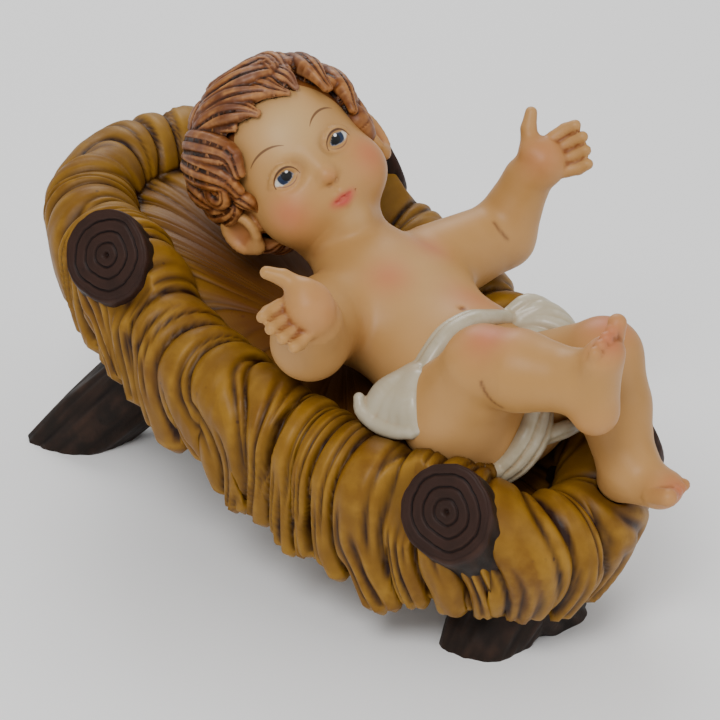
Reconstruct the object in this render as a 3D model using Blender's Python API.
"""A painted resin infant that rests in a straw-filled manger on crossed logs.

Two castings are modelled at real size, in metres with +Z up: the manger and the infant.
+X runs from the head end of the bed to its foot end, and +Y is the infant's left side.
"""
import math

import bmesh
import bpy
import numpy as np
from mathutils import Matrix, Vector

# Manger sizes
BED_LENGTH = 0.1435
BED_WIDTH = 0.077
BED_TAPER = 0.12
BED_SQUARENESS = 2.45
ROLL_RADIUS = 0.0085
CREST_HEIGHT = 0.0510
CREST_SLOPE = 0.215
HEAD_RISE = 0.0042
HEAD_RISE_INSET = 0.06015
HEAD_RISE_RUN = 0.0287
FOOT_SAG = 0.0030
FOOT_SAG_RUN = 0.0204
FLOOR_LOW = 0.0300
FLOOR_SLOPE = 0.36
FLOOR_BEND = 0.010
FLOOR_LEVEL_INSET = 0.0330
FLOOR_FLARE = 3.2
BED_WALL = 0.0070
HEM_FOOT_HEIGHT = 0.0110
HEM_HEAD_HEIGHT = 0.0455
HEM_LEVEL_INSET = 0.01675
HEM_TUCK = 0.0030
FOOT_TUCK = 0.0050
TUCK_CURVE = 1.6
HEM_EDGE = 0.0010
HEM_FLATNESS = 6
TONGUE_LENGTH = 0.0025
STRAND_COUNT = 40
STRAND_DEPTH = 0.0020
STRAND_WIDTHS = (0.55, 1.45)
STRAND_ROUNDNESS = 2.2
INNER_CARVING = 0.35

# Log sizes: the ends stand out of the straw, the feet stand on the ground, and each inset is
# measured in from the bed's own end
LOG_RADIUS = 0.0093
LOG_STICKOUT = 0.0016
LOG_BEND = 0.026
LOG_LEAN = (0.15, 0.78, 0.85)
LOG_PROFILE = ((0, 0.72), (0.08, 0.90), (0.25, 1), (0.45, 1), (0.70, 1), (0.90, 1), (1, 1))
LOG_KNOT = 0.05
SAWN_FACING = (0.30, 0.876, 0.373)
HEAD_LOG_INSET = 0.04275
HEAD_LOG_REACH = 0.0072
HEAD_LOG_LIFT = 0.0030
HEAD_STANCE_INSET = 0.00175
HEAD_STANCE_Y = 0.0240
FOOT_LOG_INSET = 0.01575
FOOT_LOG_REACH = 0.0102
FOOT_LOG_LIFT = 0.0005
FOOT_STANCE_INSET = 0.02275
FOOT_STANCE_Y = 0.0125
RING_DEPTH = 0.0006
RING_SHARES = (0.78, 0.52, 0.27)
RING_WIDTH = 0.06
LOG_COVER = 0.55
LOG_COVER_SPREAD = 1.3
LOG_PARTING = 1.1
LOG_PARTING_EDGE = 0.6

# The figure lies in the bed: its pose is written in millimetres for a figure of POSE_LENGTH
INFANT_LENGTH = 0.112
POSE_LENGTH = 112.0
POSE_FLOOR = 32.5
POSE_ACROSS = 2.0
REST_GAP = 0.0011
PRESS_DOWN = 0.4

# Mesh fineness
STRAND_COLUMNS = 3
LOG_SIDES = 12
CLAY_VOXEL = 0.0009
INFANT_TRIANGLES = 4300
CLEAR_ROUNDS = 6
FLOOR_ROWS = (0.08, 0.40, 0.70, 0.90)
ROLL_ROWS = (0.08, 0.28, 0.48, 0.70, 0.92)
SKIRT_ROWS = (0.30, 0.65, 1.0)
UNDER_ROWS = (0.97, 0.60)

# Places along the bed, from its middle
HALF_LENGTH = BED_LENGTH / 2
HEAD_LOG_X = HEAD_LOG_INSET - HALF_LENGTH
HEAD_STANCE_X = HEAD_STANCE_INSET - HALF_LENGTH
HEAD_RISE_X = HEAD_RISE_INSET - HALF_LENGTH
FOOT_LOG_X = HALF_LENGTH - FOOT_LOG_INSET
FOOT_STANCE_X = HALF_LENGTH - FOOT_STANCE_INSET
FLOOR_LEVEL_X = HALF_LENGTH - FLOOR_LEVEL_INSET
HEM_LEVEL_X = HALF_LENGTH - HEM_LEVEL_INSET


def clear_scene():
    for thing in list(bpy.data.objects):
        bpy.data.objects.remove(thing, do_unlink=True)


def paint(name, colour, roughness):
    material = bpy.data.materials.new(name)
    material.use_nodes = True
    shader = material.node_tree.nodes["Principled BSDF"]
    shader.inputs["Base Color"].default_value = (*colour, 1)
    shader.inputs["Roughness"].default_value = roughness
    material.diffuse_color = (*colour, 1)
    return material


def unit(vector):
    vector = np.asarray(vector, float)
    return vector / np.linalg.norm(vector)


def smooth_step(value):
    value = np.clip(value, 0, 1)
    return value * value * (3 - 2 * value)


# Clay shapes: each knows its distance field and its own starting mesh


class Limb:
    """A tapered limb with round ends, between two points."""

    def __init__(self, start, end, start_radius, end_radius, blend=1.5):
        self.start = pose(*start)
        self.end = pose(*end)
        self.radii = (start_radius * POSE_UNIT, end_radius * POSE_UNIT)
        self.blend = blend * POSE_UNIT

    def distance(self, points):
        along = self.end - self.start
        share = np.clip((points - self.start) @ along / (along @ along), 0, 1)
        nearest = self.start + share[:, None] * along
        radius = self.radii[0] + share * (self.radii[1] - self.radii[0])
        return np.linalg.norm(points - nearest, axis=1) - radius

    def add_to(self, mesh):
        part = bmesh.new()
        for centre, radius in zip((self.start, self.end), self.radii):
            place = Matrix.Translation(Vector(centre))
            bmesh.ops.create_icosphere(part, subdivisions=2, radius=radius, matrix=place)
        bmesh.ops.delete(part, geom=part.edges[:], context="EDGES_FACES")
        bmesh.ops.convex_hull(part, input=part.verts[:])
        loose = [vert for vert in part.verts if not vert.link_faces]
        bmesh.ops.delete(part, geom=loose, context="VERTS")
        move_into(part, mesh)


class Egg:
    """An ellipsoid, turned to the frame given by three axes."""

    def __init__(self, centre, radii, axes=((1, 0, 0), (0, 1, 0), (0, 0, 1)), blend=2.0):
        self.centre = pose(*centre)
        self.radii = np.array(radii) * POSE_UNIT
        self.axes = np.array([unit(axis) for axis in axes])
        self.blend = blend * POSE_UNIT

    def distance(self, points):
        local = (points - self.centre) @ self.axes.T
        reach = np.linalg.norm(local / self.radii, axis=1)
        steep = np.linalg.norm(local / self.radii ** 2, axis=1)
        return reach * (reach - 1) / np.maximum(steep, 1e-9)

    def add_to(self, mesh):
        turn = Matrix(self.axes.T.tolist()).to_4x4()
        size = Matrix.Diagonal((*self.radii, 1))
        place = Matrix.Translation(Vector(self.centre)) @ turn @ size
        bmesh.ops.create_icosphere(mesh, subdivisions=4, radius=1, matrix=place)


class Cap(Egg):
    """An ellipsoid with everything in front of a plane cut away."""

    def __init__(self, centre, radii, axes, front, edge, blend=1.0):
        super().__init__(centre, radii, axes, blend)
        self.front = unit(front)
        self.edge = pose(*edge)

    def distance(self, points):
        ahead = (points - self.edge) @ self.front
        return -smooth_least(-super().distance(points), -ahead, 1.0 * POSE_UNIT)

    def add_to(self, mesh):
        part = bmesh.new()
        super().add_to(part)
        cut = bmesh.ops.bisect_plane(part, geom=part.verts[:] + part.edges[:] + part.faces[:],
                                     plane_co=Vector(self.edge), plane_no=Vector(self.front),
                                     clear_outer=True)
        rim = [item for item in cut["geom_cut"] if isinstance(item, bmesh.types.BMEdge)]
        bmesh.ops.holes_fill(part, edges=rim)
        move_into(part, mesh)


def move_into(part, mesh):
    copy = bpy.data.meshes.new("copy")
    part.to_mesh(copy)
    part.free()
    mesh.from_mesh(copy)
    bpy.data.meshes.remove(copy)


def smooth_least(first, second, blend):
    mix = np.clip(0.5 + 0.5 * (second - first) / blend, 0, 1)
    return second + (first - second) * mix - blend * mix * (1 - mix)


def clay_distance(shapes, points):
    distance = shapes[0].distance(points)
    for shape in shapes[1:]:
        distance = smooth_least(distance, shape.distance(points), shape.blend)
    return distance


def clay_gradient(shapes, points, step=0.00005):
    slopes = []
    for axis in np.eye(3):
        ahead = clay_distance(shapes, points + axis * step)
        behind = clay_distance(shapes, points - axis * step)
        slopes.append((ahead - behind) / (2 * step))
    slope = np.stack(slopes, axis=1)
    return slope / np.maximum(np.linalg.norm(slope, axis=1, keepdims=True), 1e-6)


# The pose: where each point of the figure lies, in millimetres

POSE_UNIT = INFANT_LENGTH / POSE_LENGTH


def pose(x, y, z):
    """A point of the figure, placed so that it lies on the bed's floor."""
    return np.array((x, y + POSE_ACROSS, z - POSE_FLOOR)) * POSE_UNIT + np.array((0, 0, FLOOR_LOW))


HEAD = np.array((-17.5, -0.5, 77.5))
FACING = unit((0.81, -0.35, 0.446))
CROWN = unit(np.array((-0.55, -0.27, 0.79)) - FACING * (FACING @ np.array((-0.55, -0.27, 0.79))))
SIDE = np.cross(FACING, CROWN)
HEAD_AXES = (SIDE, FACING, CROWN)


def on_head(side, front, up):
    """A point in the head's own frame: to its right, ahead and up."""
    return tuple(HEAD + side * SIDE + front * FACING + up * CROWN)


def trunk():
    slope = unit((1, 0, -0.36))
    rise = np.cross(slope, (0, 1, 0))
    axes = (slope, (0, 1, 0), -rise)
    shapes = [
        Egg((13, 0, 56.5), (16, 17.0, 12.0), axes),
        Egg((30, 0, 50.0), (16, 16.0, 13.2), axes, 5),
        Egg((41, 0, 46.0), (13, 16.5, 12.0), axes, 5),
        Limb((6, 0, 60), on_head(0, -1, -11), 9.0, 8.2, 5),
    ]
    return shapes


def head():
    shapes = [
        Egg(on_head(0, -1.5, 2.5), (14.8, 16.6, 15.8), HEAD_AXES, 3),
        Egg(on_head(0, 5, -6), (13.2, 11.5, 12.0), HEAD_AXES, 4),
        Limb(on_head(0, 8, -13.5), on_head(0, 11.5, -14.0), 5.2, 4.2, 3),
        Limb(on_head(-1.8, 15.0, -9.6), on_head(1.8, 15.0, -9.6), 2.0, 2.0, 1.5),
        Limb(on_head(0, 15.6, 0.5), on_head(0, 17.2, -4.6), 1.0, 1.7, 1.5),
    ]
    for side in (-1, 1):
        shapes.append(Egg(on_head(7.2 * side, 8.6, -7.6), (6.4, 6.4, 6.2), HEAD_AXES, 3))
        shapes.append(Egg(on_head(15.4 * side, 0.5, -4.5), (2.0, 3.4, 4.8), HEAD_AXES, 0.8))
        shapes.append(Limb(on_head(1.6 * side, 16.0, -5.0), on_head(1.9 * side, 15.4, -5.0),
                           1.1, 1.0, 0.8))
        shapes.append(Limb(on_head(3.5 * side, 14.9, 2.6), on_head(8.2 * side, 13.0, 1.8),
                           1.5, 1.5, 1.5))
    return shapes


def arms():
    return [
        Limb((8, 14.5, 59), (10, 31, 61.5), 8.6, 6.8, 3),
        Limb((10, 31, 61.5), (12.6, 35.4, 73.0), 7.0, 4.7, 1.6),
        Limb((9, -14, 58), (18.5, -27.5, 60.8), 8.6, 7.0, 3),
        Limb((18.5, -27.5, 61.0), (23.5, -31.0, 68.5), 7.2, 5.4, 1.6),
    ]


def hand(wrist, palm, reach, spread, facing, curl):
    """A hand: the palm, four fingers along reach and a thumb along spread."""
    wrist, palm = np.array(wrist, float), np.array(palm, float)
    reach, spread, facing = unit(reach), unit(spread), unit(facing)
    shapes = [Limb(wrist, palm, 4.2, 4.0, 2),
              Egg(palm, (4.6, 4.9, 2.7), (reach, spread, facing), 2)]
    for finger in range(4):
        across = (1.5 - finger) * 2.3
        length = 5.4 - 0.5 * abs(finger - 1.2)
        root = palm + reach * 3.4 + spread * across
        bend = unit(reach + curl * 0.6 * facing + 0.06 * across * spread)
        knuckle = root + bend * length * 0.62
        tip = knuckle + unit(reach + curl * 1.8 * facing) * length * 0.5
        shapes.append(Limb(root, knuckle, 1.45, 1.4, 0.7))
        shapes.append(Limb(knuckle, tip, 1.4, 1.2, 0.5))
    thumb = palm + spread * 3.6 - reach * 1.4
    middle = thumb + unit(spread + 0.25 * reach) * 3.6
    shapes.append(Limb(thumb, middle, 2.0, 1.7, 1.5))
    shapes.append(Limb(middle, middle + unit(spread + 0.55 * reach + 0.1 * facing) * 3.2,
                       1.6, 1.25, 0.5))
    return shapes


VIEW_RIGHT = np.array((0.669, 0.743, 0.0))
VIEW_UP = np.array((-0.349, 0.314, 0.883))
VIEW_BACK = np.array((0.656, -0.591, 0.469))


def hands():
    left = hand((12.6, 35.4, 73.0), (15.2, 37.0, 77.5), VIEW_RIGHT * 0.92 + VIEW_UP * 0.38,
                VIEW_UP - 0.35 * VIEW_RIGHT, VIEW_BACK, 0.35)
    right = hand((23.5, -31.0, 68.5), (25.5, -34.0, 73.0), -0.75 * VIEW_RIGHT - 0.65 * VIEW_UP,
                 0.75 * VIEW_UP - 0.75 * VIEW_RIGHT, VIEW_BACK, 0.9)
    return left + right


def legs():
    return [
        Limb((41, -9.5, 46), (41.5, -13, 49.5), 10.5, 10.8, 3),
        Limb((41.5, -13, 49.5), (49.5, -14.5, 64.0), 10.6, 8.2, 3),
        Limb((49.5, -14.5, 64.5), (58, -11.5, 64.8), 8.0, 7.6, 1.2),
        Limb((58, -11.5, 64.8), (69.0, -8.0, 65.5), 7.5, 5.6, 1.2),
        Limb((41, 9, 47), (59, 9.5, 60.5), 10.0, 7.4, 3),
        Limb((59, 9.5, 60.5), (64, 7.5, 53.0), 7.4, 7.0, 1.2),
        Limb((64, 7.5, 53.0), (69.5, 6, 43.0), 7.0, 5.4, 1.2),
    ]


def foot(ankle, heel, ball, toes, across):
    """A foot from its ankle, heel and ball, with a row of toes across it."""
    ankle, heel, ball, toes = (np.array(point, float) for point in (ankle, heel, ball, toes))
    across = unit(across)
    shapes = [Limb(ankle, heel, 5.2, 4.0, 2), Limb(heel, ball, 3.7, 3.0, 2)]
    for edge in (-1, 1):
        shapes.append(Limb(heel + across * edge * 0.8, ball + across * edge * 2.6, 3.0, 2.4, 2))
    shapes.append(Limb(ankle, ball, 4.6, 2.9, 2.5))
    for toe in range(5):
        share = 2 - toe
        radius = 1.75 if toe == 0 else 1.25
        root = ball + across * share * 1.95
        tip = toes + across * share * 1.85 - unit(toes - ball) * 0.55 * toe
        shapes.append(Limb(root, tip, radius, radius, 0.5))
    return shapes


def feet():
    right = foot((69.0, -8.0, 65.5), (73.0, -7.2, 61.0), (74.5, -7.2, 72.5), (75.0, -7.2, 77.5),
                 (-0.25, 1, 0.1))
    left = foot((70, 6, 43), (68, 6.2, 39.5), (78.5, 6.0, 41.8), (83, 6.0, 43.2), (0.1, -1, 0.1))
    return right + left


def cloth():
    """The loincloth: a band over the hips, a corner on the straw and folds between."""
    shapes = []
    band = ((38, 17.5, 52), (37, 12, 58.5), (35.5, 4, 62), (35, -5, 61.5), (34.5, -13, 57.5),
            (33.0, -17, 51), (31.5, -18.5, 46))
    for row in range(3):
        slide = np.array((1.0, 0, -0.36)) * row * 2.6
        points = [np.array(point) + slide for point in band]
        for start, end in zip(points, points[1:]):
            shapes.append(Limb(start, end, 1.9, 1.9, 0.8))
    for x, y, z in ((27.0, -23.0, 46.4), (31.5, -22.5, 45.6), (36.5, -21.5, 45.6)):
        shapes.append(Limb((33.0, -17, 50), (x, y, z), 2.4, 2.0, 1.0))
    shapes.append(Limb((26.5, -23.5, 46.8), (40, -22, 47.4), 1.9, 2.3, 1.0))
    under = ((47, 13, 51), (51.5, 8, 45), (49, 0, 38), (46, -8, 36.5))
    for start, end in zip(under, under[1:]):
        shapes.append(Limb(start, end, 3.4, 3.4, 1.2))
    gather = ((41, 18, 56.0), (45, 16.5, 55.5), (49, 15, 55.0))
    for point in gather:
        shapes.append(Limb((36, 13, 58), point, 2.2, 2.6, 1.0))
    return shapes


def on_scalp(turn, lift, out=0.0):
    """A point on the hair: turned round the crown axis and lifted above the ears, in degrees."""
    turn, lift = math.radians(turn), math.radians(lift)
    return on_head(math.sin(turn) * math.cos(lift) * (15.6 + out),
                   -1.8 + math.cos(turn) * math.cos(lift) * (17.2 + out),
                   2.6 + math.sin(lift) * (16.5 + out))


# Each lock: turn and lift where it starts, where it bends and where it ends
FRINGE_LOCKS = (
    (-150, 60, -60, 62, 15, 44, 2.6), (-140, 40, -70, 50, 40, 32, 2.4),
    (-120, 75, -20, 60, 30, 50, 2.4), (60, 60, 58, 45, 12, 38, 2.1),
    (140, 50, 80, 48, 50, 34, 2.4), (120, 30, 82, 34, 66, 12, 2.3),
    (125, 10, 92, 16, 74, -8, 2.2), (118, 28, 100, 8, 84, -14, 2.2),
    (-110, 30, -82, 34, -64, 12, 2.3), (-118, 8, -90, 10, -72, -14, 2.2),
    (110, -6, 98, -22, 84, -30, 2.0), (-110, -10, -98, -24, -86, -32, 2.0),
)


def hair():
    cap = Cap(on_head(0, -1.8, 2.6), (15.8, 17.4, 16.7), HEAD_AXES,
              FACING * 0.885 - CROWN * 0.465, on_head(0, 12.4, 12.0), 0.8)
    shapes = [cap]
    for turn, lift, mid_turn, mid_lift, end_turn, end_lift, size in FRINGE_LOCKS:
        start = on_scalp(turn, lift)
        middle = on_scalp(mid_turn, mid_lift, 1.0)
        end = on_scalp(end_turn, end_lift, 0.2)
        shapes.append(Limb(start, middle, size * 0.8, size, 0.7))
        shapes.append(Limb(middle, end, size, size * 0.55, 0.7))
    for row, lift in enumerate((40, 10, -20)):
        for lock in range(7):
            turn = 120 + 20 * lock + 10 * (row % 2)
            shapes.append(Limb(on_scalp(turn, lift, -0.4), on_scalp(turn + 9, lift - 24, 0.2),
                               2.8, 2.2, 0.6))
    peak = on_scalp(-20, 58, 3.4)
    shapes.append(Limb(on_scalp(-90, 66, 0.5), peak, 2.4, 2.0, 1.0))
    return shapes


def figure():
    return trunk() + head() + arms() + hands() + legs() + feet() + cloth() + hair()


def modified(source, name, *settings):
    """A new mesh from an object with modifiers on it."""
    helper = bpy.data.objects.new(name, source)
    bpy.context.scene.collection.objects.link(helper)
    for kind, values in settings:
        modifier = helper.modifiers.new(kind.title(), kind)
        for key, value in values.items():
            setattr(modifier, key, value)
    bpy.context.view_layer.update()
    shape = helper.evaluated_get(bpy.context.evaluated_depsgraph_get())
    result = bpy.data.meshes.new_from_object(shape)
    bpy.data.objects.remove(helper, do_unlink=True)
    return result


def positions(mesh):
    flat = np.empty(len(mesh.vertices) * 3, np.float32)
    mesh.vertices.foreach_get("co", flat)
    return flat.reshape(-1, 3).astype(float)


def set_positions(mesh, points):
    mesh.vertices.foreach_set("co", points.astype(np.float32).ravel())
    mesh.update()


def settle(mesh, shapes, rounds=4):
    """Draw each vertex onto the blended clay surface."""
    points = positions(mesh)
    for _ in range(rounds):
        points -= clay_gradient(shapes, points) * clay_distance(shapes, points)[:, None]
    set_positions(mesh, points)


def make_infant(shapes):
    lump = bmesh.new()
    for shape in shapes:
        shape.add_to(lump)
    rough = bpy.data.meshes.new("lump")
    lump.to_mesh(rough)
    lump.free()
    voxels = ("REMESH", {"mode": "VOXEL", "voxel_size": CLAY_VOXEL})
    clay = modified(rough, "clay", voxels)
    settle(clay, shapes)
    clay = modified(clay, "clay again", voxels)
    settle(clay, shapes, 2)
    triangles = sum(len(face.vertices) - 2 for face in clay.polygons)
    infant = modified(clay, "cast", ("DECIMATE", {"ratio": INFANT_TRIANGLES / triangles}))
    return infant


def crest_point(angle):
    """The middle of the straw roll in plan, by its angle round the bed."""
    power = 2 / BED_SQUARENESS
    along = np.sign(np.cos(angle)) * np.abs(np.cos(angle)) ** power
    across = np.sign(np.sin(angle)) * np.abs(np.sin(angle)) ** power
    half_length = HALF_LENGTH - ROLL_RADIUS
    half_width = BED_WIDTH / 2 - ROLL_RADIUS
    return half_length * along, half_width * across * (1 - BED_TAPER * along)


def crest_side(x):
    """How far out to the side the middle of the roll is, at a place along the bed."""
    along = x / (HALF_LENGTH - ROLL_RADIUS)
    across = (1 - abs(along) ** BED_SQUARENESS) ** (1 / BED_SQUARENESS)
    return (BED_WIDTH / 2 - ROLL_RADIUS) * across * (1 - BED_TAPER * along)


def plain_crest(x):
    """Height of the rim without the bumps over the logs."""
    sag = FOOT_SAG * smooth_step((x - FOOT_LOG_X) / FOOT_SAG_RUN + 0.5)
    rise = HEAD_RISE * smooth_step((HEAD_RISE_X - x) / HEAD_RISE_RUN)
    return CREST_HEIGHT - CREST_SLOPE * x - sag + rise


def log_tops():
    """The middle of each sawn end, with the way that it faces."""
    tops = []
    for x, reach, lift in ((HEAD_LOG_X, HEAD_LOG_REACH, HEAD_LOG_LIFT),
                           (FOOT_LOG_X, FOOT_LOG_REACH, FOOT_LOG_LIFT)):
        for side in (-1, 1):
            top = np.array((x, side * (crest_side(x) + reach), float(plain_crest(x)) + lift))
            tops.append((top, unit(SAWN_FACING) * (1, side, 1)))
    return tops


def crest_height(x, y):
    """Height of the rim, raised where the straw passes over the log ends."""
    rise = 0
    for top, _ in log_tops():
        reach = (x - top[0]) ** 2 + (y - top[1]) ** 2
        bump = np.maximum(top[2] + LOG_COVER * LOG_RADIUS - plain_crest(top[0]), 0)
        rise = rise + bump * np.exp(-reach / (LOG_COVER_SPREAD * LOG_RADIUS) ** 2)
    return plain_crest(x) + rise


def floor_height(x):
    """The floor slopes down from the head and levels out under the hips."""
    uphill = (FLOOR_LEVEL_X - x) / FLOOR_BEND
    return FLOOR_LOW + FLOOR_SLOPE * FLOOR_BEND * np.log1p(np.exp(uphill))


def hem_height(x):
    share = smooth_step((HEM_LEVEL_X - x) / (HEM_LEVEL_X + HALF_LENGTH))
    return HEM_FOOT_HEIGHT + (HEM_HEAD_HEIGHT - HEM_FOOT_HEIGHT) * share


class Rim:
    """What each column of the bed's mesh needs to know of the rim that it crosses."""

    def __init__(self, columns, chance):
        widths = chance.uniform(*STRAND_WIDTHS, STRAND_COUNT)
        edges = np.concatenate(([0], np.cumsum(widths))) / widths.sum()
        steps = np.arange(columns) / columns
        shares = (edges[:-1, None] + np.diff(edges)[:, None] * steps).ravel()
        self.dome = np.tile(1 - np.abs(2 * steps - 1) ** STRAND_ROUNDNESS, STRAND_COUNT)
        angles = np.linspace(0, 2 * math.pi, 1441)
        x, y = crest_point(angles)
        length = np.concatenate(([0], np.cumsum(np.hypot(np.diff(x), np.diff(y)))))
        angle = np.interp(shares, length / length[-1], angles)
        self.x, self.y = crest_point(angle)
        nudge = 0.001
        ahead_x, ahead_y = crest_point(angle + nudge)
        behind_x, behind_y = crest_point(angle - nudge)
        out = np.stack((ahead_y - behind_y, behind_x - ahead_x), axis=1)
        self.out_x, self.out_y = (out / np.linalg.norm(out, axis=1, keepdims=True)).T
        self.roll_z = crest_height(self.x, self.y) - ROLL_RADIUS
        tongues = np.repeat(chance.uniform(-1, 1, STRAND_COUNT), columns)
        self.hem = hem_height(self.x) + TONGUE_LENGTH * (1 + tongues - self.dome)

    def beside(self, reach):
        return self.x + self.out_x * reach, self.y + self.out_y * reach


def floor_row(rim, reach):
    """Inside the bed, from its middle out to the inner side of the roll."""
    x, y = rim.beside(-ROLL_RADIUS)
    x, y = x * reach, y * reach
    floor = floor_height(x)
    flare = reach ** FLOOR_FLARE
    return x, y, floor + (rim.roll_z - floor) * flare, INNER_CARVING * flare


def roll_row(rim, share):
    """Over the roll, from its inner side to its outer side."""
    turn = math.pi * (1 - share)
    x, y = rim.beside(ROLL_RADIUS * math.cos(turn))
    return x, y, rim.roll_z + ROLL_RADIUS * math.sin(turn), INNER_CARVING + (1 - INNER_CARVING) * share


def skirt_row(rim, drop):
    """Down the straw that hangs outside, to its hem."""
    tuck = HEM_TUCK + FOOT_TUCK * np.maximum(rim.out_x, 0)
    x, y = rim.beside(ROLL_RADIUS - tuck * drop ** TUCK_CURVE)
    return x, y, rim.roll_z + (rim.hem - rim.roll_z) * drop, 1.0


def under_row(rim, reach):
    """Under the bed, from the hem in to the middle."""
    x, y = rim.beside(-HEM_EDGE)
    x, y = x * reach, y * reach
    ceiling = np.maximum(floor_height(x) - BED_WALL, rim.hem)
    level = reach ** HEM_FLATNESS
    return x, y, ceiling * (1 - level) + (rim.hem + HEM_EDGE) * level, 0.0


def bed_surface(rim, floor_rows, roll_rows, skirt_rows, under_rows):
    """Grid of points of the straw: each row goes round the bed."""
    rows = [floor_row(rim, reach) for reach in floor_rows]
    rows += [roll_row(rim, share) for share in roll_rows]
    rows += [skirt_row(rim, drop) for drop in skirt_rows]
    rows += [under_row(rim, reach) for reach in under_rows]
    grid = np.array([np.stack((x, y, z), axis=1) for x, y, z, _ in rows])
    weights = np.array([weight for _, _, _, weight in rows])
    around = np.roll(grid, -1, axis=1) - np.roll(grid, 1, axis=1)
    over = np.gradient(grid, axis=0)
    inward = np.cross(around, over)
    inward /= np.maximum(np.linalg.norm(inward, axis=2, keepdims=True), 1e-9)
    proud = STRAND_DEPTH * rim.dome[None, :] * weights[:, None]
    return grid - inward * proud[:, :, None]


def part_straw(grid):
    """Straw keeps behind each sawn end, so that the log stands out of it."""
    for top, facing in log_tops():
        offset = grid - top
        ahead = offset @ facing
        aside = np.linalg.norm(offset - ahead[..., None] * facing, axis=-1)
        near = 1 - smooth_step((aside / LOG_RADIUS - LOG_PARTING) / LOG_PARTING_EDGE)
        push = np.maximum(ahead + LOG_STICKOUT, 0) * near
        grid = grid - facing * push[..., None]
    return grid


def clear_infant(grid, shapes, rounds):
    """Press the straw down wherever it, or the middle of one of its faces, meets the infant."""
    for _ in range(rounds):
        for down in (0, 1):
            for along in (0, 1):
                corners = [(slice(step, len(grid) - down + step), turn)
                           for step in range(down + 1) for turn in range(along + 1)]
                middle = sum(np.roll(grid, -turn, axis=1)[rows] for rows, turn in corners)
                middle /= len(corners)
                press = clearance_push(shapes, middle)
                for rows, turn in corners:
                    grid[rows] += np.roll(press, turn, axis=1)
    return grid


def clearance_push(shapes, grid):
    """How each point has to move, a little downwards, to be REST_GAP clear of the infant."""
    points = grid.reshape(-1, 3)
    short = REST_GAP - clay_distance(shapes, points)
    near = short > 0
    push = np.zeros_like(points)
    if near.any():
        slope = clay_gradient(shapes, points[near])
        way = slope - np.array((0, 0, PRESS_DOWN))
        steep = np.maximum((slope * way).sum(axis=1, keepdims=True), 0.5)
        push[near] = way / steep * short[near, None]
    return push.reshape(grid.shape)


def close_grid(mesh, grid, top, bottom):
    rows = [[mesh.verts.new(point) for point in row] for row in grid]
    count = len(rows[0])
    first = mesh.verts.new(top)
    last = mesh.verts.new(bottom)
    for column in range(count):
        following = (column + 1) % count
        mesh.faces.new((first, rows[0][column], rows[0][following]))
        for upper, lower in zip(rows, rows[1:]):
            mesh.faces.new((upper[column], lower[column], lower[following], upper[following]))
        mesh.faces.new((rows[-1][column], last, rows[-1][following]))


def make_bed(shapes):
    rim = Rim(STRAND_COLUMNS, np.random.default_rng(7))
    grid = bed_surface(rim, FLOOR_ROWS, ROLL_ROWS, SKIRT_ROWS, UNDER_ROWS)
    grid = clear_infant(part_straw(grid), shapes, CLEAR_ROUNDS)
    floor = grid[0, :, 2].mean()
    mesh = bmesh.new()
    close_grid(mesh, grid, (0, 0, floor), (0, 0, floor - BED_WALL))
    bmesh.ops.recalc_face_normals(mesh, faces=mesh.faces)
    return mesh


def bend_through(start, middle, end, share):
    return (1 - share) ** 2 * start + 2 * share * (1 - share) * middle + share ** 2 * end


def make_log(stance, top, facing):
    """A gnarled log from its foot, under the floor of the bed, to its sawn end."""
    middle = top - unit(LOG_LEAN) * (1, np.sign(top[1]), 1) * LOG_BEND
    mesh = bmesh.new()
    rings = []
    for share, size in LOG_PROFILE:
        centre = bend_through(stance, middle, top, share)
        later = bend_through(stance, middle, top, min(share + 0.01, 1))
        earlier = bend_through(stance, middle, top, max(share - 0.01, 0))
        sawn = share ** 4
        along = unit(unit(later - earlier) * (1 - sawn) + facing * sawn)
        first = unit(np.cross(along, (1, 0, 0.2)))
        second = np.cross(along, first)
        ring = []
        for side in range(LOG_SIDES):
            turn = 2 * math.pi * side / LOG_SIDES
            knot = 1 + LOG_KNOT * math.sin(3 * turn + 9 * share) * (share < 1)
            reach = first * math.cos(turn) + second * math.sin(turn)
            ring.append(mesh.verts.new(centre + reach * LOG_RADIUS * size * knot))
        rings.append(ring)
    for lower, upper in zip(rings, rings[1:]):
        for side in range(LOG_SIDES):
            following = (side + 1) % LOG_SIDES
            mesh.faces.new((lower[side], lower[following], upper[following], upper[side]))
    mesh.faces.new(list(reversed(rings[0])))
    carve_rings(mesh, mesh.faces.new(rings[-1]))
    bmesh.ops.recalc_face_normals(mesh, faces=mesh.faces)
    return mesh


def carve_rings(mesh, end):
    """Year rings: V grooves pressed into the sawn end."""
    size = 1.0
    for share in RING_SHARES:
        for edge, depth in ((share + RING_WIDTH, 0), (share, -RING_DEPTH),
                            (share - RING_WIDTH, RING_DEPTH)):
            bmesh.ops.inset_region(mesh, faces=[end], thickness=(size - edge) * LOG_RADIUS,
                                   depth=depth)
            size = edge


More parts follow.
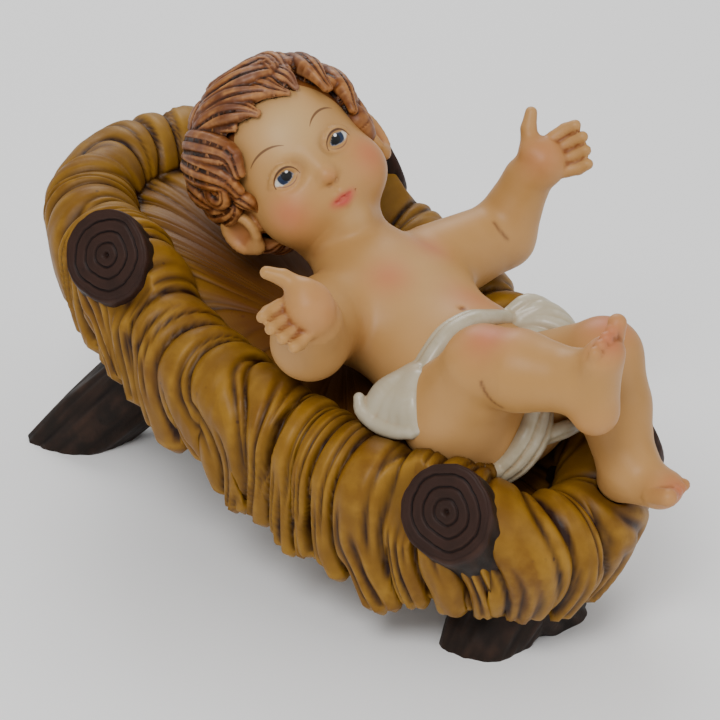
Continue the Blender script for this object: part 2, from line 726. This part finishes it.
def make_ground():
    """What is below the ground, to cut the feet off flat."""
    mesh = bmesh.new()
    size = Matrix.Diagonal((2 * BED_LENGTH, 2 * BED_LENGTH, 2 * LOG_RADIUS, 1))
    bmesh.ops.create_cube(mesh, size=1, matrix=Matrix.Translation((0, 0, -LOG_RADIUS)) @ size)
    return mesh


def make_logs():
    """Each log crosses under the bed to a foot on the other side."""
    logs = []
    for top, facing in log_tops():
        x, y = (HEAD_STANCE_X, HEAD_STANCE_Y) if top[0] < 0 else (FOOT_STANCE_X, FOOT_STANCE_Y)
        stance = np.array((x, -math.copysign(y, top[1]), -LOG_RADIUS / 2))
        logs.append(make_log(stance, top, facing))
    return logs


def add_object(name, mesh):
    data = bpy.data.meshes.new(name)
    mesh.to_mesh(data)
    mesh.free()
    thing = bpy.data.objects.new(name, data)
    bpy.context.scene.collection.objects.link(thing)
    return thing


def make_manger(shapes):
    manger = add_object("manger", make_bed(shapes))
    for number, log in enumerate(make_logs()):
        combine(manger, f"log_{number}", log, "UNION")
    combine(manger, "ground", make_ground(), "DIFFERENCE")
    return manger


def combine(thing, name, mesh, operation):
    tool = add_object(name, mesh)
    tool.hide_render = True
    tool.display_type = "WIRE"
    modifier = thing.modifiers.new(name, "BOOLEAN")
    modifier.operation = operation
    modifier.object = tool


def set_origin(things):
    """Stand the middle of the whole part's underside on the world origin, by a parent empty."""
    graph = bpy.context.evaluated_depsgraph_get()
    points = np.concatenate([positions(thing.evaluated_get(graph).data) for thing in things])
    low, high = points.min(axis=0), points.max(axis=0)
    stand = bpy.data.objects.new("part_origin", None)
    for thing in bpy.context.scene.collection.objects:
        thing.parent = stand
    bpy.context.scene.collection.objects.link(stand)
    stand.location = (-(low[0] + high[0]) / 2, -(low[1] + high[1]) / 2, -low[2])


def main():
    clear_scene()
    shapes = figure()
    manger = make_manger(shapes)
    manger.data.materials.append(paint("straw", (0.45, 0.26, 0.06), 0.5))
    infant = bpy.data.objects.new("infant", make_infant(shapes))
    bpy.context.scene.collection.objects.link(infant)
    infant.data.materials.append(paint("skin", (0.80, 0.58, 0.40), 0.4))
    for thing in (manger, infant):
        thing.data.shade_smooth()
    bpy.context.view_layer.update()
    set_origin((manger, infant))


main()
